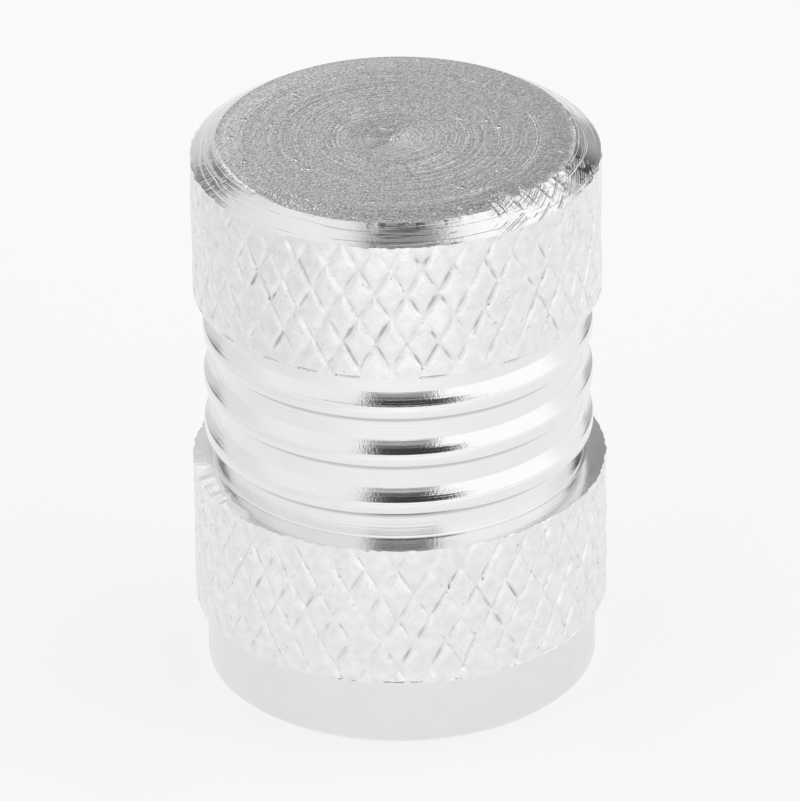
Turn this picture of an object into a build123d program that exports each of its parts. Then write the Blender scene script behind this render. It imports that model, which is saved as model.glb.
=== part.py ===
from build123d import *
import os
from math import ceil, floor, pi, radians, tan

# Tyre valve cap: a turned aluminium cap with two diamond-knurled bands, a ribbed waist between them,
# a plain skirt at the open end and a rubber sealing washer at the blind end of its threaded bore.
# Millimetres. The cap stands on its open end, on the plane Z = 0, with its axis on +Z.

# Outside diameter, and the steps from the knurl's crests to the other diameters, each on one side
upper_knurl_d = 12.0
lower_band_step = 0.1  # how far the lower band stands out past the upper one
top_chamfer_w = 0.73
waist_step = 0.58
rib_step = 0.31  # from the waist out to the ribs
skirt_step = 0.35
stock_step = 0.4  # the bar that the cap is turned from

# Heights of the outside, from the open end upwards
skirt_h = 2.2
lower_band_h = 4.4
shoulder_h = 0.12
waist_h = 5.55
upper_band_h = 4.28
top_chamfer_h = 0.5
skirt_edge_break = 0.15

# Ribs of the waist
rib_count = 3
rib_pitch = 1.58
rib_land_w = 0.4
rib_land_bulge = 0.03  # how far the middle of a rib's land stands above its two lips
rib_flank_h = 0.45

# Diamond knurl
knurl_count = 40
knurl_angle = 30.0  # between a groove and the cap's axis
knurl_depth = 0.16
upper_knurl_turn = -2.0  # from the front, to a point of the knurl
upper_knurl_rise = 2.76  # from the band's lower edge, to that point
lower_knurl_turn = 3.4
lower_knurl_rise = 2.13

# Bore, for the outside thread of a tyre valve stem
thread_minor_d = 6.9
thread_h = 7.55
mouth_chamfer = 0.65
seat_step = 0.45  # from the thread's crests out to the wall of the washer's seat
seat_h = 2.2

# Sealing washer
seal_h = 1.4
seal_hole_d = 3.4
seal_clearance = 0.1  # between the washer's rim and the wall of its seat

# Diameters
top_face_d = upper_knurl_d - 2 * top_chamfer_w
waist_d = upper_knurl_d - 2 * waist_step
rib_d = waist_d + 2 * rib_step
lower_knurl_d = upper_knurl_d + 2 * lower_band_step
skirt_d = lower_knurl_d - 2 * skirt_step
stock_d = lower_knurl_d + 2 * stock_step
mouth_d = thread_minor_d + 2 * mouth_chamfer
seat_d = thread_minor_d + 2 * seat_step

# Levels
lower_band_z = skirt_h
lower_edge_z = lower_band_z + lower_band_h
waist_z = lower_edge_z + shoulder_h
upper_band_z = waist_z + waist_h
upper_edge_z = upper_band_z + upper_band_h
top_z = upper_edge_z + top_chamfer_h
thread_top_z = mouth_chamfer + thread_h
seat_z = thread_top_z + seat_h


def knurled_blank(crest_d, low, high, point_turn, point_z):
    """A solid bar from below low to above high, its side all four-sided points between two crossing
    sets of V grooves. A point stands at point_turn degrees from the front (-Y), at the height point_z."""
    crest_r = crest_d / 2
    root_r = crest_r - knurl_depth
    half_cell_h = pi * crest_r / knurl_count / tan(radians(knurl_angle))
    half_cell_turn = 180 / knurl_count
    first_row = floor((low - point_z) / half_cell_h) - 1
    last_row = ceil((high - point_z) / half_cell_h) + 1

    def corner(row, column):
        # Crests and groove crossings take turns along each row and up each column.
        radius = root_r if (row + column) % 2 else crest_r
        across = Vector(radius, 0).rotate(Axis.Z, point_turn - 90 + column * half_cell_turn)
        return across + Vector(0, 0, point_z + row * half_cell_h)

    facets = []
    for row in range(first_row, last_row):
        for column in range(2 * knurl_count):
            # The groove runs between the two crossings of this cell, and parts it into two facets.
            near = corner(row, column)
            right = corner(row, column + 1)
            above = corner(row + 1, column)
            far = corner(row + 1, column + 1)
            if (row + column) % 2:
                facets += [(near, right, far), (near, far, above)]
            else:
                facets += [(near, right, above), (right, far, above)]
    for row in (first_row, last_row):
        facets.append([corner(row, column) for column in range(2 * knurl_count)])
    return Solid(Shell([Face(Wire.make_polygon(facet)) for facet in facets]))


upper_blank = knurled_blank(
    upper_knurl_d, upper_band_z, top_z, upper_knurl_turn, upper_band_z + upper_knurl_rise
)
lower_blank = knurled_blank(
    lower_knurl_d, lower_band_z, waist_z, lower_knurl_turn, lower_band_z + lower_knurl_rise
)

with BuildPart() as cap_body:
    # The two knurled bands, faced and chamfered out of their blanks
    add(upper_blank)
    add(lower_blank)
    top_chamfer_slope = top_chamfer_h / top_chamfer_w
    shoulder_slope = shoulder_h / ((lower_knurl_d - waist_d) / 2)
    with BuildSketch(Plane.XZ):
        with BuildLine():
            Polyline(
                (0, upper_band_z),
                (stock_d / 2, upper_band_z),
                (stock_d / 2, top_z - top_chamfer_slope * (stock_d - top_face_d) / 2),
                (top_face_d / 2, top_z),
                (0, top_z),
                close=True,
            )
        make_face()
        with BuildLine():
            Polyline(
                (0, lower_band_z),
                (stock_d / 2, lower_band_z),
                (stock_d / 2, waist_z - shoulder_slope * (stock_d - waist_d) / 2),
                (waist_d / 2, waist_z),
                (0, waist_z),
                close=True,
            )
        make_face()
    revolve(axis=Axis.Z, mode=Mode.INTERSECT)

    # Skirt, waist and ribs
    lip_r = rib_d / 2 - rib_land_bulge
    rib_foot = rib_land_w / 2 + rib_flank_h
    with BuildSketch(Plane.XZ):
        with BuildLine():
            Polyline(
                (0, 0),
                (skirt_d / 2 - skirt_edge_break, 0),
                (skirt_d / 2, skirt_edge_break),
                (skirt_d / 2, lower_band_z),
                (waist_d / 2, lower_band_z),
                (waist_d / 2, upper_edge_z),
                (0, upper_edge_z),
                close=True,
            )
        make_face()
        with Locations((0, (waist_z + upper_band_z) / 2)):
            with GridLocations(0, rib_pitch, 1, rib_count):
                with BuildSketch(mode=Mode.PRIVATE) as rib:
                    with BuildLine():
                        land = SagittaArc((lip_r, -rib_land_w / 2), (lip_r, rib_land_w / 2), -rib_land_bulge)
                        Polyline(land @ 1, (waist_d / 2, rib_foot), (waist_d / 2, -rib_foot), land @ 0)
                    make_face()
                add(rib.sketch)
    revolve(axis=Axis.Z)

    # Countersunk mouth, thread bore and washer seat
    with BuildSketch(Plane.XZ):
        with BuildLine():
            Polyline(
                (0, 0),
                (mouth_d / 2, 0),
                (thread_minor_d / 2, mouth_chamfer),
                (thread_minor_d / 2, thread_top_z),
                (seat_d / 2, thread_top_z),
                (seat_d / 2, seat_z),
                (0, seat_z),
                close=True,
            )
        make_face()
    revolve(axis=Axis.Z, mode=Mode.SUBTRACT)

with BuildPart() as sealing_washer:
    with BuildSketch(Plane.XY.offset(seat_z - seal_h)):
        Circle(seat_d / 2 - seal_clearance)
        Circle(seal_hole_d / 2, mode=Mode.SUBTRACT)
    extrude(amount=seal_h)

os.makedirs("parts", exist_ok=True)
cap_body.part.label = "cap_body"
export_step(cap_body.part, "parts/cap_body.step")
sealing_washer.part.label = "sealing_washer"
export_step(sealing_washer.part, "parts/sealing_washer.step")
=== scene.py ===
from math import cos, pi, radians, sin, tan

import bpy
import numpy as np
from mathutils import Matrix, Vector


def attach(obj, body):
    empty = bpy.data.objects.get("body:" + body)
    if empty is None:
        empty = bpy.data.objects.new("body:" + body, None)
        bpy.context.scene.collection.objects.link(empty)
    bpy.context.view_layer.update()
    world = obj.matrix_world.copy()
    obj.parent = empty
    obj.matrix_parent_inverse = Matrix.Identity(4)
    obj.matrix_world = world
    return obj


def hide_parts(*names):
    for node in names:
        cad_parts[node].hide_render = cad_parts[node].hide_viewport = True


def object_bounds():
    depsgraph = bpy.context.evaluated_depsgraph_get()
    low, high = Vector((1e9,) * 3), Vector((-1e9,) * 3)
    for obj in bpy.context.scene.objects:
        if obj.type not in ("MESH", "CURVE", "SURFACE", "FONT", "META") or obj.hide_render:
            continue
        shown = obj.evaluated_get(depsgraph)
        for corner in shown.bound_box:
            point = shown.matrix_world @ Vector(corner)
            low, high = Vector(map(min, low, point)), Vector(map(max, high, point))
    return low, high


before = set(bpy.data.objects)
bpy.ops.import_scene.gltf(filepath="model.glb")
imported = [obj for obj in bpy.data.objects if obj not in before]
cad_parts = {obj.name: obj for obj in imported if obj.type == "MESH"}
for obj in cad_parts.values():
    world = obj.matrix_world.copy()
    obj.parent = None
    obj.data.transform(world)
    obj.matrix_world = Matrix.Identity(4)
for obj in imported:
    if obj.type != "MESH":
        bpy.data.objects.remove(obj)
cad_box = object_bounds()

# The cap's sizes, in millimetres and degrees. They follow the solids, with the coves and hollows of the ribs,
# the thread, and the marks of tools and knocks added.
MM = 0.001

# Top face and chamfer
TOP_Z = cad_box[1][2] / MM
TOP_FACE_R = 5.27
PIP_R = 0.05
TOP_OUTLINE = (  # radius and drop, from the pip at the middle out to the rim
    (0.12, 0.03), (0.2, 0.03), (0.35, 0.005), (1.5, 0.0),
    (4.25, 0.0), (4.5, 0.003), (4.75, 0.014), (5.0, 0.032),
)
RIM_DROP = 0.05
RIM_LIP = 0.025  # width of the burred lip along the rim
RIM_LIP_FOOT = 0.045  # width of the slope up to it
RIM_BURR = (0.01, 0.006)  # height of the burr, and how much more and less it is at the front and at the back
CHAMFER_H = 0.5
CHAMFER_RINGS = (0.25, 0.5, 0.75, 1.0)  # shares of its width

# Bands, waist, shoulder and skirt
CREST_R = 6.0
LOWER_CREST_R = (cad_box[1][0] - cad_box[0][0]) / 2 / MM
UPPER_BAND_Z = 12.27
LOWER_BAND_Z = 2.2
WAIST_R = 5.42
WAIST_Z = 6.72
FILLET_R = 0.07  # at the foot of the waist
FILLET_POINTS = 3
GUARD = 0.02  # of wall that takes up the bend of the shading next to a cove or a fillet
SHOULDER_H = 0.065
SHOULDER_BEND = 0.5  # share of the shoulder's width along which it starts to fall
SHOULDER_RINGS = (0.03, 0.25, 0.5, 0.75, 1.0)  # shares of its width
SKIRT_R = 5.75
SKIRT_MIDDLE_Z = 1.2
EDGE_BREAK = 0.15

# Ribs
RIB_COUNT = 3
RIB_PITCH = 1.58
RIB_R = 5.73
RIB_LAND = 0.35
RIBS_Z = (WAIST_Z + UPPER_BAND_Z) / 2 - 0.03  # of the middle rib
RIB_BULGE = 0.03  # of the land, above its upper lip
LOWER_BULGE = 0.5  # share of it above the lower lip
COVE_SWEEP = (26, 52)  # tilt of the cove above each rib, at the wall and at the lip
COVE_POINTS = 7
LAND_POINTS = 7
LIP_ROUND = 0.08  # of the lower lip of each rib
LIP_SWEEP = (10, 80)  # tilt of the lower lip, from the land to the hollow
LIP_POINTS = 5
UNDER_H = 0.16  # of the tight hollow under each rib
CORNER_DROP = 0.39  # from the middle of each rib to the corner under it

# Diamond knurl
KNURL_COUNT = 40
KNURL_ANGLE = 30.0
KNURL_DEPTH = 0.1  # of the grooves below the diamonds
KNURL_ROWS = 64  # more rows of diamonds than a band has
GROOVE_FROM = 0.7  # where a groove starts, from the middle of a diamond (0) to the middle of the groove (1)
FALLING_LEFT = 0.5  # mean share that is left of the falling grooves
RISING_LEFT = 0.6
CREST_DROP = 0.01  # of the diamonds' flat tops, below the crests of the solid
UNEVEN_DEPTH = 0.006  # spread of the diamonds' depth
LEAN = 0.035  # spread of the diamonds' slope
GRAIN = 0.003  # of the knurl's surface
LOW_FADE = (0.4, 0.3)  # height over which the knurl fades out at a lower edge, and the share left there
HIGH_FADE = (0.5, 0.35)
RAGGED = 0.022  # of the knurl's edges
EDGE_ROOM = 0.01  # least drop from a ragged edge to the next row
EDGE_ROUNDS = 12  # of finding the edge
BURR_H = 0.09
BURR_WAVE = 0.03
BURR_TIP = 0.01  # how far the tip of the burr is folded in
UPPER_POINT = (-2.0, UPPER_BAND_Z + 2.76)  # turn from the front to a point of the knurl, and its height
LOWER_POINT = (3.4, LOWER_BAND_Z + 2.13)

# Knocks, as turns from the front and what is lost there
BITES = ((32, 33.5, 62, 66), (0.0, 0.33, 0.12, 0.0))  # depth of the scraped patch in the rim
BITTEN_R = 4.25  # where the top face starts to give way to it
WORN = ((-92, -75, -55, -40), (0.0, 1.0, 1.0, 0.0))  # share of the wear of the edges on the left
WORN_LIP = 0.09  # width of the worn edge of the top face
WORN_DISH = 0.6  # share of the rim's dish that is missing there
WORN_SHOULDER_DROP = 0.06
WORN_SHOULDER_FROM = 0.3  # share of the shoulder's width that isn't worn

# Bore
MOUTH_R = 4.1
THREAD_MINOR_R = 3.45
THREAD_MAJOR_R = 3.87
THREAD_PITCH = 0.794
THREAD_LOW_Z = 0.65
THREAD_TOP_Z = 8.2
THREAD_ROWS = 10  # a turn
SHARP_THREAD = 1.45  # height of the thread without its flats, as a multiple of its depth
CREST_CUT = 0.25  # of that, cut off flat at the crests
FIRST_BORE_Z = 0.1
SEAT_R = 3.9
SEAT_Z = 10.4
SEAT_MIDDLE_R = 1.0

# Mesh
STEPS = 8  # columns, and rows, from a point of the knurl to the next groove crossing
COLUMNS = 2 * KNURL_COUNT * STEPS
WAIST_COLUMNS = COLUMNS // 4
BORE_COLUMNS = COLUMNS // 5
SHARP_ANGLE = 24  # from which an edge isn't shaded smooth
NOISE_ROWS = 256  # of the lattice that noise is drawn on

# Finishes of the body, in the order of its material slots
TOP, CHAMFER, KNURL, WAIST, SKIRT, BORE, UNDERSIDE = range(7)


def smooth_noise(across, up, cells, cell_h, seed):
    """Even noise from -1 to 1 over turns (0 to 1, which meet at the seam) and heights."""
    lattice = np.random.default_rng(seed).uniform(-1, 1, (cells, NOISE_ROWS))
    u = np.mod(across, 1) * cells
    v = np.asarray(up) / cell_h + NOISE_ROWS // 4
    column = np.floor(u).astype(int)
    row = np.floor(v).astype(int)
    fu = u - column
    fv = v - row
    fu = fu * fu * (3 - 2 * fu)
    fv = fv * fv * (3 - 2 * fv)
    left = column % cells
    right = (column + 1) % cells
    below = row % NOISE_ROWS
    above = (row + 1) % NOISE_ROWS
    low = lattice[left, below] * (1 - fu) + lattice[right, below] * fu
    high = lattice[left, above] * (1 - fu) + lattice[right, above] * fu
    return low * (1 - fv) + high * fv


def ring_noise(cells, seed):
    """Even noise from -1 to 1 along a full ring, with so many cells."""
    return smooth_noise(np.arange(COLUMNS) / COLUMNS, 0, cells, 1, seed)


def from_front(turn):
    """Turns of the columns, in degrees from -180 to 180, of a full ring that starts at a turn."""
    return np.mod(turn + 360 * np.arange(COLUMNS) / COLUMNS + 180, 360) - 180


class Skin:
    """A closed skin of rings of points round the axis, each joined to the ring before it."""

    def __init__(self):
        self.points = []
        self.faces = []
        self.finish = []

    def ring(self, radius, height, turn, columns=COLUMNS):
        """Adds a ring whose first point is turn degrees from the front, and returns its point numbers."""
        angle = radians(turn - 90) + 2 * pi * np.arange(columns) / columns
        radius = np.broadcast_to(radius, columns)
        height = np.broadcast_to(height, columns)
        first = len(self.points)
        self.points += zip(radius * np.cos(angle), radius * np.sin(angle), height)
        return np.arange(first, first + columns)

    def grow(self, above, radius, height, turn, finish, columns=COLUMNS):
        """Adds a ring, joins it to the one before it along the outline, and returns it."""
        below = self.ring(radius, height, turn, columns)
        join = self.join if len(above) == len(below) else self.join_uneven
        join(above, below, finish)
        return below

    def face(self, corners, finish):
        """Adds a face, unless its corners fall together."""
        if len(set(corners)) > 2:
            self.faces.append(corners)
            self.finish.append(finish)

    def join(self, above, below, finish):
        """Four-sided faces from one ring to the next one along the outline."""
        for a, a2, b, b2 in zip(above, np.roll(above, -1), below, np.roll(below, -1)):
            self.face((int(b), int(b2), int(a2), int(a)), finish)

    def join_split(self, above, below, finish, rising):
        """Three-sided faces, parted along a rising or a falling diagonal of each column."""
        rings = zip(above, np.roll(above, -1), below, np.roll(below, -1), rising)
        for a, a2, b, b2, up in rings:
            a, a2, b, b2 = int(a), int(a2), int(b), int(b2)
            pair = ((b, b2, a2), (b, a2, a)) if up else ((b, b2, a), (b2, a2, a))
            for corners in pair:
                self.face(corners, finish)

    def join_uneven(self, above, below, finish):
        """Joins two rings, one of which has several points to each point of the other."""
        fine_above = len(above) > len(below)
        fine, coarse = (above, below) if fine_above else (below, above)
        share = len(fine) // len(coarse)
        half = share // 2
        for i in range(len(coarse)):
            near, far = int(coarse[i]), int(coarse[(i + 1) % len(coarse)])
            edge = [int(fine[(i * share + k) % len(fine)]) for k in range(share + 1)]
            fan = [(near if k < half else far, edge[k + 1], edge[k]) for k in range(share)]
            for corners in fan + [(near, far, edge[half])]:
                self.face(corners if fine_above else corners[::-1], finish)

    def close(self, ring, height, finish, turn_over=False):
        """A fan from a ring to a point on the axis."""
        centre = len(self.points)
        self.points.append((0, 0, height))
        for a, b in zip(ring, np.roll(ring, -1)):
            self.face((int(b), int(a), centre) if turn_over else (int(a), int(b), centre), finish)

    def piece(self, name):
        """Makes the object, shaded smooth between its sharp edges."""
        mesh = bpy.data.meshes.new(name)
        mesh.from_pydata([Vector(p) * MM for p in self.points], [], self.faces)
        mesh.polygons.foreach_set("material_index", self.finish)
        mesh.polygons.foreach_set("use_smooth", [True] * len(self.finish))
        mesh.validate()
        mesh.set_sharp_from_angle(angle=radians(SHARP_ANGLE))
        piece = bpy.data.objects.new(name, mesh)
        bpy.context.scene.collection.objects.link(piece)
        return piece


class Band:
    """A band of diamond knurling: flat-topped diamonds between two crossing sets of worn, broken grooves."""

    def __init__(self, crest_r, low, high, point, pillow, crack, seed):
        self.crest_r = crest_r
        self.low = low
        self.high = high
        self.pillow = pillow  # from the middle of a diamond to its corners
        self.crack = crack  # depth of the crack under the burr of the lower edge
        self.turn, self.point_z = point
        self.half_h = pi * crest_r / KNURL_COUNT / tan(radians(KNURL_ANGLE))
        self.row_h = self.half_h / STEPS
        self.seed = seed  # the band's layers of noise have the seeds after it
        # How much each diamond leans back, leans sideways and lies deep
        self.uneven = np.random.default_rng(seed).normal(0, 1, (3, 2 * KNURL_COUNT, KNURL_ROWS))

    def radius(self, height):
        """The radius at each column, all at one height or each at its own."""
        height = np.broadcast_to(height, COLUMNS)
        turns = np.arange(COLUMNS) / (2 * STEPS)
        rise = (height - self.point_z) / (2 * self.half_h)
        right, left = turns + rise, turns - rise
        a, b = right - np.round(right), left - np.round(left)
        column = np.round(right).astype(int) + np.round(left).astype(int)
        row = np.round(right).astype(int) - np.round(left).astype(int)
        back, side, deep = self.uneven[:, column % (2 * KNURL_COUNT), row % KNURL_ROWS]
        pillow = self.pillow * ((2 * a) ** 4 + (2 * b) ** 4) / 2
        lean = LEAN * (back * (a - b) * self.half_h + side * (a + b) * pi * self.crest_r / KNURL_COUNT)
        place = (turns / KNURL_COUNT, height)
        # The grooves are open along the middle of a diamond's sides, and filled in where they cross.
        falling = self.groove(a) * (1 - (2 * b) ** 2) * self.wear(place, layer=10, left=FALLING_LEFT)
        rising = self.groove(b) * (1 - (2 * a) ** 2) * self.wear(place, layer=20, left=RISING_LEFT)
        cut = np.maximum(falling, rising)
        relief = UNEVEN_DEPTH * deep + pillow + lean + KNURL_DEPTH * cut
        grain = GRAIN * smooth_noise(*place, cells=240, cell_h=0.14, seed=self.seed + 3)
        return self.crest_r - CREST_DROP - self.fade(height) * relief + grain

    def fade(self, height):
        """The share of the relief at a height. The rolls bit less deep along the two edges."""
        low_h, low_share = LOW_FADE
        high_h, high_share = HIGH_FADE
        low = np.clip((height - self.low) / low_h, low_share, 1)
        return low * np.clip((self.high - height) / high_h, high_share, 1)

    def groove(self, across):
        """The share of a groove's depth at a place across a set of grooves, whose lines are at each half."""
        return np.clip((2 * abs(across) - GROOVE_FROM) / (1 - GROOVE_FROM), 0, 1)

    def wear(self, place, layer, left):
        """The share that is left of one set of grooves, which the rolling filled in here and there."""
        coarse = smooth_noise(*place, cells=26, cell_h=1.1, seed=self.seed + layer)
        fine = smooth_noise(*place, cells=90, cell_h=0.35, seed=self.seed + layer + 1)
        return np.clip(left + 0.35 * coarse + 0.6 * fine, 0, 1)

    def edge(self, level):
        """Where the band meets a turned cone, given as a function of the radius: (radii, heights)."""
        radius = np.full(COLUMNS, self.crest_r)
        for _ in range(EDGE_ROUNDS):
            radius = (radius + self.radius(level(radius))) / 2
        chips = ring_noise(cells=150, seed=self.seed + 6) + ring_noise(cells=300, seed=self.seed + 7)
        radius = radius + RAGGED * chips
        return radius, level(radius)

    def build(self, skin, edge_ring, edge_z):
        """Adds the band's rows from its upper edge down, and its burr, and returns the last ring."""
        above = edge_ring
        first = int((np.max(edge_z) - self.point_z) / self.row_h)
        last = int(np.ceil((self.low + BURR_H - self.point_z) / self.row_h))
        columns = np.arange(COLUMNS) // STEPS
        for row in range(first, last - 1, -1):
            height = self.point_z + row * self.row_h
            below = skin.ring(self.radius(height), height, self.turn)
            below = np.where(height < edge_z - EDGE_ROOM, below, edge_ring)
            rising = (columns + row // STEPS) % 2 == 1
            skin.join_split(above, below, KNURL, rising)
            above = below
        return self.build_burr(skin, above)

    def build_burr(self, skin, above):
        """The burr of the lower edge, folded down over a crack, which it leaves open in dashes."""
        dashes = np.clip(3 * ring_noise(cells=60, seed=self.seed + 4), 0, 1)
        wave = BURR_WAVE * ring_noise(cells=44, seed=self.seed + 5)
        for share, cut in ((1.0, 0.0), (0.65, self.crack), (0.35, 0.0), (0.0, BURR_TIP)):
            height = self.low + share * BURR_H + wave * (share < 1)
            above = skin.grow(above, self.radius(height) - cut * dashes, height, self.turn, KNURL)
        return above


def rim_bites(turn):
    """The depth of the scraped patch in the rim at each column."""
    jagged = 0.9 + 0.6 * ring_noise(cells=110, seed=23) + 0.4 * ring_noise(cells=320, seed=24)
    return np.interp(turn, *BITES) * np.clip(jagged, 0, 1.7)


def build_top(skin, band):
    """The top face, with the pip that the facing tool leaves at its centre, and a burr along its rim."""
    turn = from_front(band.turn)
    bites = rim_bites(turn)
    worn = np.interp(turn, *WORN)
    dish = 1 - WORN_DISH * worn
    inner = skin.ring(PIP_R, TOP_Z, band.turn)
    skin.close(inner, TOP_Z, TOP)
    for radius, drop in TOP_OUTLINE:
        bitten = bites * max(0, radius - BITTEN_R) / (TOP_FACE_R - BITTEN_R)
        inner = skin.grow(inner, radius - bitten, TOP_Z - drop * dish, band.turn, TOP)

    burr = np.clip(ring_noise(cells=200, seed=21) + 0.7 * ring_noise(cells=18, seed=22), 0, 1)
    mean, front = RIM_BURR
    burr *= mean + front * np.cos(2 * pi * np.arange(COLUMNS) / COLUMNS)
    lip = RIM_LIP + WORN_LIP * worn * (0.8 + 0.4 * ring_noise(cells=60, seed=26))
    lip_z = TOP_Z - RIM_DROP * dish
    rim_r = TOP_FACE_R - bites
    outline = (
        (rim_r - lip - RIM_LIP_FOOT, lip_z),
        (rim_r - lip, lip_z + burr * (1 - worn)),
        (rim_r, TOP_Z - RIM_DROP),
    )
    for radius, height in outline:
        inner = skin.grow(inner, radius + burr, height, band.turn, TOP)
    return inner


def build_upper_band(skin, band, inner):
    """The chamfer, down to the ragged line where it cuts the knurl, and the band."""
    bites = rim_bites(from_front(band.turn))
    rim_z = TOP_Z - RIM_DROP
    slope = (CHAMFER_H - RIM_DROP) / (CREST_R - TOP_FACE_R)
    edge_r, edge_z = band.edge(lambda radius: rim_z - slope * (radius - TOP_FACE_R))
    for share in CHAMFER_RINGS:
        radius = TOP_FACE_R + share * (edge_r - TOP_FACE_R) - bites * (1 - share) ** 3
        inner = skin.grow(inner, radius, rim_z + share * (edge_z - rim_z), band.turn, CHAMFER)
    return band.build(skin, inner, edge_z)


def rib_outline(middle):
    """A rib from top to bottom: a cove, a sharp lip, a crowned land, a thin lip and a tight hollow."""
    lip_r = RIB_R - RIB_BULGE
    tilt = np.radians(np.linspace(*COVE_SWEEP, COVE_POINTS))
    cove = (lip_r - WAIST_R) / (cos(tilt[0]) - cos(tilt[-1]))
    cove_r = WAIST_R + cove * (cos(tilt[0]) - np.cos(tilt))
    cove_z = RIB_LAND / 2 + cove * (sin(tilt[-1]) - np.sin(tilt))
    across = np.linspace(1, -1, LAND_POINTS)[1:]
    land_r = RIB_R - RIB_BULGE * across**2 * np.where(across > 0, 1, LOWER_BULGE)
    land_z = across * RIB_LAND / 2
    tilt = np.radians(np.linspace(*LIP_SWEEP, LIP_POINTS))
    round_r = land_r[-1] - LIP_ROUND * (cos(tilt[0]) - np.cos(tilt[1:]))
    round_z = land_z[-1] - LIP_ROUND * (np.sin(tilt[1:]) - sin(tilt[0]))
    tilt = np.linspace(tilt[-1], 0, LIP_POINTS)
    under_r = WAIST_R + (round_r[-1] - WAIST_R) * (1 - np.cos(tilt[1:])) / (1 - cos(tilt[0]))
    under_z = round_z[-1] - UNDER_H * (1 - np.sin(tilt[1:]))
    # A short piece of wall keeps the rest of the wall straight.
    radii = np.concatenate([cove_r, land_r, round_r, under_r, [WAIST_R]])
    heights = np.concatenate([cove_z, land_z, round_z, under_z, [under_z[-1] - GUARD]])
    return zip(radii, middle + heights)


def waist_outline():
    """The waist's ribs and wall, from the first rib down to the shoulder."""
    for k in range(RIB_COUNT):
        yield from rib_outline(RIBS_Z + RIB_PITCH * ((RIB_COUNT - 1) / 2 - k))
    yield WAIST_R, WAIST_Z + FILLET_R + GUARD
    for tilt in np.linspace(0, pi / 2, FILLET_POINTS):
        yield WAIST_R + FILLET_R * (1 - cos(tilt)), WAIST_Z + FILLET_R * (1 - sin(tilt))


def build_waist(skin, turn, inner):
    """The underside of the upper band, and the waist."""
    inner = skin.grow(inner, WAIST_R, UPPER_BAND_Z, turn, UNDERSIDE, WAIST_COLUMNS)
    for radius, height in waist_outline():
        inner = skin.grow(inner, radius, height, turn, WAIST, WAIST_COLUMNS)
    return inner


def shoulder_z(radius, turn):
    """The shoulder's level: flat along the waist, falling towards the knurl, and worn down on the left."""
    share = (radius - WAIST_R) / (LOWER_CREST_R - WAIST_R)
    straight = 2 * SHOULDER_BEND * share - SHOULDER_BEND**2
    fall = np.where(share < SHOULDER_BEND, share**2, straight) / (2 * SHOULDER_BEND - SHOULDER_BEND**2)
    torn = 1 + 0.6 * smooth_noise(turn / 360, 0, cells=140, cell_h=1, seed=25)
    worn = WORN_SHOULDER_DROP * np.interp(turn, *WORN) * torn
    worn_share = np.clip((share - WORN_SHOULDER_FROM) / (1 - WORN_SHOULDER_FROM), 0, 1)
    return WAIST_Z - SHOULDER_H * fall - worn * worn_share


def build_lower_band(skin, band, inner):
    """The shoulder, down to the ragged line where it cuts the knurl, and the band."""
    foot_r = WAIST_R + FILLET_R
    turn = from_front(band.turn)
    edge_r, edge_z = band.edge(lambda radius: shoulder_z(radius, turn))
    for share in SHOULDER_RINGS:
        radius = foot_r + share * (edge_r - foot_r)
        inner = skin.grow(inner, radius, shoulder_z(radius, turn), band.turn, WAIST)
    return band.build(skin, inner, edge_z)


def build_skirt(skin, turn, inner):
    """The underside of the lower band, and the skirt down to its broken edge."""
    inner = skin.grow(inner, SKIRT_R, LOWER_BAND_Z, turn, UNDERSIDE)
    for radius, height in ((SKIRT_R, SKIRT_MIDDLE_Z), (SKIRT_R, EDGE_BREAK), (SKIRT_R - EDGE_BREAK, 0.0)):
        inner = skin.grow(inner, radius, height, turn, SKIRT)
    return inner


def thread_radius(turns, height):
    """The wall of a right-hand inside thread with flat crests and roots."""
    along = np.mod(height / THREAD_PITCH - turns, 1)
    flank = np.clip((1 - abs(2 * along - 1)) * SHARP_THREAD - CREST_CUT, 0, 1)
    return THREAD_MINOR_R + (THREAD_MAJOR_R - THREAD_MINOR_R) * flank


def build_bore(skin, turn, inner):
    """The open end, the countersunk mouth, the thread and the washer's seat."""
    inner = skin.grow(inner, MOUTH_R, 0.0, turn, BORE, BORE_COLUMNS)
    turns = np.arange(BORE_COLUMNS) / BORE_COLUMNS
    rows = round((THREAD_TOP_Z - THREAD_LOW_Z) / THREAD_PITCH * THREAD_ROWS)
    flare = (MOUTH_R - THREAD_MINOR_R) / THREAD_LOW_Z
    for height in np.linspace(FIRST_BORE_Z, THREAD_TOP_Z, rows):
        radius = np.maximum(thread_radius(turns, height), MOUTH_R - flare * height)
        inner = skin.grow(inner, radius, height, turn, BORE, BORE_COLUMNS)
    for radius, height in ((SEAT_R, THREAD_TOP_Z), (SEAT_R, SEAT_Z), (SEAT_MIDDLE_R, SEAT_Z)):
        inner = skin.grow(inner, radius, height, turn, BORE, BORE_COLUMNS)
    skin.close(inner, SEAT_Z, BORE, turn_over=True)


def build_body():
    """The whole cap as one skin, from the middle of the top over the outside and up into the bore."""
    upper_z = TOP_Z - CHAMFER_H
    lower_z = WAIST_Z - SHOULDER_H
    upper = Band(CREST_R, UPPER_BAND_Z, upper_z, UPPER_POINT, pillow=0.045, crack=0.07, seed=11)
    lower = Band(LOWER_CREST_R, LOWER_BAND_Z, lower_z, LOWER_POINT, pillow=0.06, crack=0.02, seed=12)
    skin = Skin()
    ring = build_top(skin, upper)
    ring = build_upper_band(skin, upper, ring)
    ring = build_waist(skin, upper.turn, ring)
    # The lower band's columns start where they are nearest to the ones above.
    ring = np.roll(ring, -round((lower.turn - upper.turn) / 360 * WAIST_COLUMNS))
    ring = build_lower_band(skin, lower, ring)
    ring = build_skirt(skin, lower.turn, ring)
    build_bore(skin, lower.turn, ring)
    return skin.piece("cap_body_turned")


def grey(level):
    """An opaque grey."""
    return (level, level, level, 1)


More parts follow.
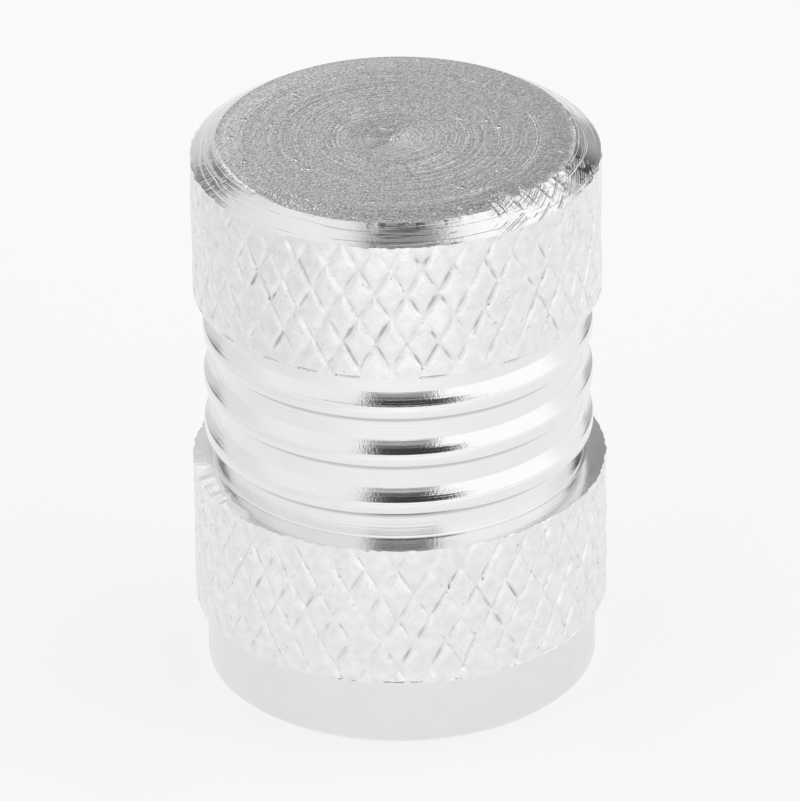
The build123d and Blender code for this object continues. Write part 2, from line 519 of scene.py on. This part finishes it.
class Nodes:
    """Short calls for building a node tree."""

    MIX_A, MIX_B, MIX_RESULT = 6, 7, 2  # the colour sockets of a Mix node
    NOISE_RANGE = (0.3, 0.7)  # of most values of a noise texture

    def __init__(self, tree):
        self.tree = tree

    def add(self, kind, inputs=(), **settings):
        """Adds a node, with a value or a link for each of some inputs."""
        made = self.tree.nodes.new(kind)
        for key, value in settings.items():
            setattr(made, key, value)
        for key, value in dict(inputs).items():
            if isinstance(value, bpy.types.NodeSocket):
                self.tree.links.new(value, made.inputs[key])
            else:
                made.inputs[key].default_value = value
        return made

    def math(self, operation, *values):
        """A sum, or the like, of numbers."""
        return self.add("ShaderNodeMath", enumerate(values), operation=operation).outputs[0]

    def vector(self, operation, inputs):
        """A sum, or the like, of vectors."""
        return self.add("ShaderNodeVectorMath", inputs, operation=operation).outputs[0]

    def ramp(self, value, low, high, to_low=0.0, to_high=1.0):
        """A soft step from one level to another."""
        inputs = {"Value": value, "From Min": low, "From Max": high, "To Min": to_low, "To Max": to_high}
        return self.add("ShaderNodeMapRange", inputs, interpolation_type="SMOOTHSTEP").outputs["Result"]

    def away(self, value, middle):
        """How far a value is from the middle of something."""
        return self.math("ABSOLUTE", self.math("SUBTRACT", value, middle))

    def along(self, x, y, turn):
        """How far a direction reaches sideways, square to a turn from the front in degrees."""
        turn = radians(turn)
        return self.math("MULTIPLY_ADD", x, cos(turn), self.math("MULTIPLY", y, sin(turn)))

    def mix(self, share, first, second):
        """A number between two others."""
        inputs = {"Factor": share, "A": first, "B": second}
        return self.add("ShaderNodeMix", inputs, data_type="FLOAT").outputs["Result"]

    def mix_colour(self, share, first, second):
        """A colour between two others."""
        inputs = {"Factor": share, self.MIX_A: first, self.MIX_B: second}
        return self.add("ShaderNodeMix", inputs, data_type="RGBA").outputs[self.MIX_RESULT]

    def place(self):
        """Coordinates of the object, in millimetres."""
        place = self.add("ShaderNodeTexCoord").outputs["Object"]
        return self.vector("SCALE", {0: place, 3: 1 / MM})


class Metal:
    """A bare aluminium finish. Its marks add up to a height, in micrometres, that tilts the surface."""

    BARE = 0.87  # colour of clean aluminium
    FAINT_GRAIN = (1.7, 4, 0.025)  # cells a millimetre, octaves and depth of the colour's grain
    RADIAN = 57.3  # in degrees, near enough for the length of a streak

    def __init__(self, name, roughness, spread, turned=0.0, tone=BARE, grain=FAINT_GRAIN):
        self.material = bpy.data.materials.new(name)
        self.material.use_nodes = True
        self.tree = self.material.node_tree
        self.n = Nodes(self.tree)
        self.shader = self.tree.nodes["Principled BSDF"]
        self.shader.inputs["Metallic"].default_value = 1.0
        if turned:
            self.shader.inputs["Anisotropic"].default_value = turned
            tangent = self.n.add("ShaderNodeTangent", direction_type="RADIAL", axis="Z")
            self.tree.links.new(tangent.outputs[0], self.shader.inputs["Tangent"])
        self.place = self.n.place()
        x, y, self.z = self.n.add("ShaderNodeSeparateXYZ", {0: self.place}).outputs
        square = self.n.math("MULTIPLY_ADD", x, x, self.n.math("MULTIPLY", y, y))
        self.radius = self.n.math("SQRT", square)
        # Turn from the front, in degrees, to the right
        turn = self.n.math("ARCTAN2", x, self.n.math("MULTIPLY", y, -1.0))
        self.turn = self.n.math("MULTIPLY", turn, 180 / pi)
        self.height = None
        cloud = self.noise(per_mm=0.5, detail=3)
        self.rough = self.n.ramp(cloud, *self.n.NOISE_RANGE, roughness - spread, roughness + spread)
        per_mm, detail, depth = grain
        self.colour = self.n.mix_colour(self.noise(per_mm, detail), grey(tone - depth), grey(tone + depth))

    def paint_shade(self, share, level):
        """Paints shade: darkens part of the surface's colour."""
        self.colour = self.n.mix_colour(share, self.colour, grey(level))

    def raise_by(self, amount, shape):
        """Adds marks of a height, in micrometres."""
        part = self.n.math("MULTIPLY", shape, amount)
        self.height = part if self.height is None else self.n.math("ADD", self.height, part)

    def noise(self, per_mm, detail, along=None, flatten=1.0):
        """Noise with so many cells a millimetre, along one coordinate or in space, drawn out upwards."""
        inputs = {"Scale": per_mm, "Detail": detail}
        if along is not None:
            return self.n.add("ShaderNodeTexNoise", {"W": along, **inputs}, noise_dimensions="1D").outputs[0]
        place = self.n.vector("MULTIPLY", {0: self.place, 1: (1, 1, flatten)})
        return self.n.add("ShaderNodeTexNoise", {"Vector": place, **inputs}).outputs[0]

    def streaks(self, across, per_mm, detail, degrees):
        """Turning lines: noise across one coordinate, drawn out round the axis to so many degrees."""
        around = self.n.vector("NORMALIZE", {0: self.n.vector("MULTIPLY", {0: self.place, 1: (1, 1, 0)})})
        around = self.n.vector("SCALE", {0: around, 3: self.RADIAN / degrees})
        lines = self.n.add("ShaderNodeCombineXYZ", {2: self.n.math("MULTIPLY", across, per_mm)}).outputs[0]
        place = self.n.vector("ADD", {0: around, 1: lines})
        return self.n.add("ShaderNodeTexNoise", {"Vector": place, "Scale": 1.0, "Detail": detail}).outputs[0]

    def grooves(self, radii, width, depth):
        """Single turned grooves, each worn away here and there."""
        worn = self.n.ramp(self.streaks(self.radius, per_mm=1.0, detail=2, degrees=25), 0.4, 0.55)
        for radius in radii:
            groove = self.n.ramp(self.n.away(self.radius, radius), width, 0.0)
            self.raise_by(-depth, self.n.math("MULTIPLY", groove, worn))

    def specks(self, per_mm, share, amount):
        """Small nicks and grains, in a share of the cells that the surface is divided into."""
        cells = self.n.add("ShaderNodeTexVoronoi", {"Vector": self.place, "Scale": per_mm}).outputs
        lot = self.n.add("ShaderNodeSeparateColor", {0: cells["Color"]}).outputs[0]
        chosen = self.n.math("LESS_THAN", lot, share)
        dome = self.n.ramp(cells["Distance"], 0.35, 0.1)
        self.raise_by(amount, self.n.math("MULTIPLY", dome, chosen))

    def scratches(self, start, end, per_degree, slant, amount, level=BARE):
        """Slanting tool marks from one turn from the front to another, with painted shade along the deepest,
        as dark as a level.
        """
        soft = 6  # degrees at each end
        across = self.n.math("MULTIPLY_ADD", self.radius, slant, self.turn)
        marks = self.noise(per_degree, detail=2, along=across)
        worn = self.n.ramp(self.noise(per_mm=3.0, detail=2), 0.4, 0.6)
        after = self.n.ramp(self.turn, start, start + soft)
        before = self.n.ramp(self.turn, end, end - soft)
        inside = self.n.math("MULTIPLY", self.n.math("MULTIPLY", after, before), worn)
        self.raise_by(amount, self.n.math("MULTIPLY", self.n.ramp(marks, 0.5, 0.62), inside))
        # Painted shade: the colour darkens towards the level along the deepest marks.
        self.paint_shade(self.n.math("MULTIPLY", self.n.ramp(marks, 0.61, 0.67), inside), level)

    def done(self):
        """Links what was gathered to the shader, and returns the material."""
        bump = self.n.add("ShaderNodeBump", {"Height": self.height, "Distance": 0.001 * MM})
        self.tree.links.new(bump.outputs[0], self.shader.inputs["Normal"])
        self.tree.links.new(self.rough, self.shader.inputs["Roughness"])
        self.tree.links.new(self.colour, self.shader.inputs["Base Color"])
        return self.material


def turned_face():
    """The top: rings of the facing tool, fine grain, and a few nicks and flecks."""
    metal = Metal("aluminium_top", roughness=0.14, spread=0.03, turned=0.3, tone=0.83, grain=(13.0, 0, 0.4))
    metal.raise_by(8.0, metal.streaks(metal.radius, per_mm=11.0, detail=1, degrees=150))
    metal.raise_by(20.0, metal.streaks(metal.radius, per_mm=1.6, detail=2, degrees=200))
    metal.raise_by(7.0, metal.noise(per_mm=15.0, detail=0))
    metal.grooves(radii=(1.74, 1.86, 2.05, 2.3, 3.0, 4.11, 4.2), width=0.035, depth=5.0)
    metal.specks(per_mm=2.7, share=0.04, amount=45.0)
    metal.specks(per_mm=5.0, share=0.03, amount=25.0)
    return metal.done()


def turned_chamfer():
    """The chamfer: turning lines round it, and scratches on its right and left."""
    metal = Metal("aluminium_chamfer", roughness=0.17, spread=0.03, turned=0.3)
    lines = metal.streaks(metal.z, per_mm=10.0, detail=2, degrees=40)
    metal.raise_by(12.0, metal.n.ramp(lines, 0.5, 0.6))
    metal.raise_by(2.5, metal.noise(per_mm=13.0, detail=2))
    # These scratches on the right carry painted shade down to 0.3.
    metal.scratches(start=28, end=80, per_degree=0.7, slant=26.0, amount=25.0, level=0.3)
    metal.scratches(start=-84, end=-60, per_degree=0.9, slant=5.5, amount=9.0)
    return metal.done()


def rolled_knurl():
    """The knurl: smeared metal with fine grain and pits, and painted shade in its grooves."""
    metal = Metal("aluminium_knurl", roughness=0.2, spread=0.03, tone=0.865, grain=(3.0, 3, 0.12))
    # The lower band's crest is set a little in, so that its grooves get less of the painted shade.
    lower_crest_r = LOWER_CREST_R - 0.035  # so that the lower band's grooves are less dull
    crest = metal.n.ramp(metal.z, WAIST_Z, UPPER_BAND_Z, lower_crest_r, CREST_R)
    depth = metal.n.math("SUBTRACT", crest, metal.radius)
    # Painted shade in the grooves: the colour darkens with the depth below the crest.
    metal.paint_shade(metal.n.ramp(depth, 0.05, 0.14), level=0.66)
    metal.raise_by(12.0, metal.noise(per_mm=5.0, detail=4))
    metal.raise_by(11.0, metal.noise(per_mm=11.0, detail=2))
    metal.specks(per_mm=5.0, share=0.12, amount=-20.0)
    return metal.done()


def turned_waist():
    """The waist, its ribs and the shoulder: fine turning lines, the faint upright marks of a tool that shook,
    and a line of painted shade in the corner under each rib."""
    metal = Metal("aluminium_waist", roughness=0.11, spread=0.03, turned=0.2)
    from_rib = metal.n.math("SUBTRACT", metal.z, RIBS_Z)
    from_rib = metal.n.math("WRAP", from_rib, RIB_PITCH / 2, -RIB_PITCH / 2)
    # Painted shade: a darker line in the corner under each rib.
    metal.paint_shade(metal.n.ramp(metal.n.away(from_rib, -CORNER_DROP), 0.12, 0.02), level=0.58)
    metal.raise_by(7.0, metal.noise(per_mm=16.0, detail=3, along=metal.z))
    metal.raise_by(4.0, metal.noise(per_mm=16.0, detail=2, flatten=0.1))
    return metal.done()


def turned_skirt():
    """The skirt: smooth, with faint turning lines and light scuffs."""
    # Its tone, darker than the bare metal's, is painted shade from the floor next to the base, which the
    # skirt mirrors.
    metal = Metal("aluminium_skirt", roughness=0.22, spread=0.04, turned=0.3, tone=0.835)
    metal.raise_by(1.5, metal.noise(per_mm=12.0, detail=3, along=metal.z))
    metal.raise_by(0.8, metal.noise(per_mm=15.0, detail=2))
    return metal.done()


def cut_bore():
    """The open end, the mouth, the thread and the washer's seat: cut surfaces, duller than the outside."""
    metal = Metal("aluminium_bore", roughness=0.36, spread=0.07)
    metal.raise_by(9.0, metal.streaks(metal.radius, per_mm=7.0, detail=2, degrees=70))
    metal.raise_by(3.0, metal.noise(per_mm=14.0, detail=3, along=metal.z))
    metal.raise_by(2.0, metal.noise(per_mm=18.0, detail=2))
    return metal.done()


def parted_face():
    """The undersides of the two bands: rough, dull and torn by the parting tool, with a grey tone that is
    painted shade.
    """
    # The tone of 0.6 is painted shade under the bands.
    metal = Metal("aluminium_underside", roughness=0.5, spread=0.08, tone=0.6)
    metal.raise_by(8.0, metal.streaks(metal.radius, per_mm=9.0, detail=3, degrees=30))
    metal.raise_by(6.0, metal.noise(per_mm=10.0, detail=3))
    return metal.done()


def seal_rubber():
    """The washer: dull black rubber with a fine moulded grain."""
    material = bpy.data.materials.new("rubber_washer")
    material.use_nodes = True
    tree = material.node_tree
    n = Nodes(tree)
    shader = tree.nodes["Principled BSDF"]
    shader.inputs["Specular IOR Level"].default_value = 0.3
    place = n.place()
    grain = n.add("ShaderNodeTexNoise", {"Vector": place, "Scale": 14.0, "Detail": 3.0}).outputs[0]
    bloom = n.add("ShaderNodeTexNoise", {"Vector": place, "Scale": 1.5, "Detail": 3.0}).outputs[0]
    bump = n.add("ShaderNodeBump", {"Height": grain, "Distance": 0.01 * MM})
    tree.links.new(n.mix_colour(bloom, grey(0.02), grey(0.045)), shader.inputs["Base Color"])
    tree.links.new(n.ramp(bloom, *n.NOISE_RANGE, 0.6, 0.8), shader.inputs["Roughness"])
    tree.links.new(bump.outputs[0], shader.inputs["Normal"])
    return material


# The light, as levels over directions: unit vectors, with x to the right, y to the back and z up. A soft step
# is given as the places where it starts and ends and, where they aren't 0 and 1, its levels there. A turn is
# from the front, in degrees, and a step with one is taken square to it.
FRONT_GLOW = (-0.94, -0.86, 0.95, 0.42)  # along y, in the gap between the panels
FRONT_FADE = (-0.86, -0.58)
GAP_LEVEL = 0.05
STRIP_Y = -0.04  # of a dim strip across the gap overhead
STRIP = (0.13, 0.05, 0.0, 0.27)
BACK_GLOW = (0.35, 1.0, 0.0, 0.4)
RIGHT_PANEL_TURN = 50
RIGHT_PANEL = (0.66, 0.85, 1.12, 0.95)
LEFT_PANEL_TURN = -60
LEFT_PANEL = (-0.3, -0.7, 0.95, 0.84)
RIGHT_EDGE_TURN = 20
RIGHT_EDGE = (0.215, 0.315)
RIGHT_EDGE_FRONT = (-0.42, -0.6, 0.0, 0.22)  # how far the panel comes in over the gap towards the front
RIGHT_EDGE_BULGE_Y = -0.08
RIGHT_EDGE_BULGE = (0.2, 0.05, 0.0, 0.07)  # and overhead
LEFT_EDGE_TURN = -9
LEFT_EDGE = (-0.08, -0.22)
ROOM_ACROSS = (-0.2, 0.2, 0.76, 0.34)  # along x
ROOM_UP = (0.4, 0.66, 1.0, 0.5)  # along z
WINDOW_ACROSS = (-0.06, -0.12)  # a bright patch high up in the room
WINDOW_UP = (0.5, 0.56)
WINDOW_LEVEL = 1.05
LEFT_CORNER = (-0.3, -0.5)  # the dark corners of the room, along x and then up
LEFT_CORNER_UP = (0.2, 0.4, 0.72, 0.2)
RIGHT_CORNER = (0.3, 0.5)
RIGHT_CORNER_UP = (0.17, 0.38, 0.55, 0.05)
ROOM_FROM = (0.67, 0.76)  # along y, where the panels end and the room starts
ROOM_BEND = 0.12  # of that edge, towards the front on both sides
ROOM_SHIFTS = (  # of that edge, as steps along x
    (0.05, 0.15, 0.0, -0.085), (0.3, 0.55, 0.0, 0.12), (0.6, 0.7, 0.0, -0.15),
    (-0.3, -0.55, 0.0, 0.1), (-0.62, -0.75, 0.0, -0.05),
)

# The floor, in millimetres, and its levels as soft steps
FLOOR_HALF = 1500
FLOOR_DROP = 0.01
FLOOR_TONE = 0.35
FLOOR_FRONT = (12, 60, 0.685, 0.86)
FLOOR_LEFT = (-11.5, -40, 0.0, -0.22)
FLOOR_RIGHT = (12, 50, 0.0, -0.14)


def panel_level(n, x, y):
    """A large white panel on each side of the cap, and a dark gap between them, from the camera's own side
    over the top to the back."""
    front = n.mix(n.ramp(y, *FRONT_FADE), n.ramp(y, *FRONT_GLOW), GAP_LEVEL)
    overhead = n.ramp(n.away(y, STRIP_Y), *STRIP)
    gap = n.math("ADD", n.math("ADD", front, overhead), n.ramp(y, *BACK_GLOW))
    right_panel = n.ramp(n.along(x, y, RIGHT_PANEL_TURN), *RIGHT_PANEL)
    left_panel = n.ramp(n.along(x, y, LEFT_PANEL_TURN), *LEFT_PANEL)
    right_edge = n.math("ADD", n.along(x, y, RIGHT_EDGE_TURN), n.ramp(y, *RIGHT_EDGE_FRONT))
    bulge = n.ramp(n.away(y, RIGHT_EDGE_BULGE_Y), *RIGHT_EDGE_BULGE)
    right_edge = n.math("ADD", right_edge, bulge)
    level = n.mix(n.ramp(right_edge, *RIGHT_EDGE), gap, right_panel)
    return n.mix(n.ramp(n.along(x, y, LEFT_EDGE_TURN), *LEFT_EDGE), level, left_panel)


def room_level(n, x, z):
    """The room behind, paler on the left, with a bright patch high up and a dark corner on each side."""
    room = n.math("MULTIPLY", n.ramp(x, *ROOM_ACROSS), n.ramp(z, *ROOM_UP))
    window = n.math("MULTIPLY", n.ramp(x, *WINDOW_ACROSS), n.ramp(z, *WINDOW_UP))
    room = n.mix(window, room, WINDOW_LEVEL)
    room = n.mix(n.ramp(x, *LEFT_CORNER), room, n.ramp(z, *LEFT_CORNER_UP))
    return n.mix(n.ramp(x, *RIGHT_CORNER), room, n.ramp(z, *RIGHT_CORNER_UP))


def light_world():
    """The panels, and the room behind them."""
    world = bpy.data.worlds.new("studio")
    bpy.context.scene.world = world
    world.use_nodes = True
    tree = world.node_tree
    n = Nodes(tree)
    way = n.add("ShaderNodeTexCoord").outputs["Generated"]
    x, y, z = n.add("ShaderNodeSeparateXYZ", {0: way}).outputs
    depth = n.math("MULTIPLY_ADD", n.math("ABSOLUTE", x), ROOM_BEND, y)
    for shift in ROOM_SHIFTS:
        depth = n.math("ADD", depth, n.ramp(x, *shift))
    level = n.mix(n.ramp(depth, *ROOM_FROM), panel_level(n, x, y), room_level(n, x, z))
    background = tree.nodes["Background"]
    background.inputs["Color"].default_value = grey(1)
    tree.links.new(level, background.inputs["Strength"])


def floor_white():
    """A pale matt floor, seen as almost white and clear from below."""
    material = bpy.data.materials.new("floor_white")
    material.use_nodes = True
    tree = material.node_tree
    n = Nodes(tree)
    shader = tree.nodes["Principled BSDF"]
    shader.inputs["Base Color"].default_value = grey(FLOOR_TONE)
    shader.inputs["Roughness"].default_value = 0.9
    shader.inputs["Specular IOR Level"].default_value = 0.0
    shader.inputs["Emission Color"].default_value = grey(1)
    paths = n.add("ShaderNodeLightPath").outputs
    seen = n.math("MAXIMUM", paths["Is Camera Ray"], paths["Is Glossy Ray"])
    seen = n.math("MAXIMUM", seen, paths["Is Transmission Ray"])
    # Its glow, seen by the camera and mirrored in the metal, is painted light: dim next to the cap as painted
    # shade, paler further out in front, and greyer far out to both sides
    x, y, _ = n.add("ShaderNodeSeparateXYZ", {0: n.place()}).outputs
    reach = n.math("MAXIMUM", n.math("MULTIPLY", y, -1.0), n.math("ABSOLUTE", x))
    level = n.ramp(reach, *FLOOR_FRONT)
    for side in (FLOOR_LEFT, FLOOR_RIGHT):
        level = n.math("ADD", level, n.ramp(x, *side))
    tree.links.new(n.math("MULTIPLY", seen, level), shader.inputs["Emission Strength"])
    below = n.add("ShaderNodeNewGeometry").outputs["Backfacing"]
    clear = n.add("ShaderNodeBsdfTransparent").outputs[0]
    sided = n.add("ShaderNodeMixShader", {0: below, 1: shader.outputs[0], 2: clear}).outputs[0]
    tree.links.new(sided, tree.nodes["Material Output"].inputs["Surface"])
    return material


def build_floor():
    """A wide square just under the cap."""
    half = FLOOR_HALF * MM
    corners = [(-half, -half, 0), (half, -half, 0), (half, half, 0), (-half, half, 0)]
    mesh = bpy.data.meshes.new("floor")
    mesh.from_pydata(corners, [], [(0, 1, 2, 3)])
    mesh.materials.append(floor_white())
    floor = bpy.data.objects.new("floor", mesh)
    floor.location.z = -FLOOR_DROP * MM
    bpy.context.scene.collection.objects.link(floor)


def aim_camera():
    """The photograph's viewpoint: a long lens, 29 degrees above the floor."""
    elevation = radians(28.68)
    roll = radians(-0.76)
    distance = 330 * MM
    target = Vector((0.036, 0, 8.329)) * MM
    forward = Vector((0, cos(elevation), -sin(elevation)))
    right = Vector((1, 0, 0))
    up = right.cross(forward)
    side = cos(roll) * right + sin(roll) * up
    over = -sin(roll) * right + cos(roll) * up
    camera = bpy.data.objects.new("camera", bpy.data.cameras.new("camera"))
    camera.data.lens = 503.9
    camera.data.sensor_width = 36
    turned = Matrix((side, over, -forward)).transposed().to_4x4()
    camera.matrix_world = Matrix.Translation(target - distance * forward) @ turned
    bpy.context.scene.collection.objects.link(camera)
    bpy.context.scene.camera = camera


body = build_body()
for finish in (turned_face, turned_chamfer, rolled_knurl, turned_waist, turned_skirt, cut_bore, parted_face):
    body.data.materials.append(finish())
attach(body, "root")
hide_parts("cap_body")

rubber = seal_rubber()
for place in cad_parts["sealing_washer"].material_slots:
    place.material = rubber

light_world()
build_floor()
aim_camera()
bpy.context.scene.view_settings.view_transform = "Standard"
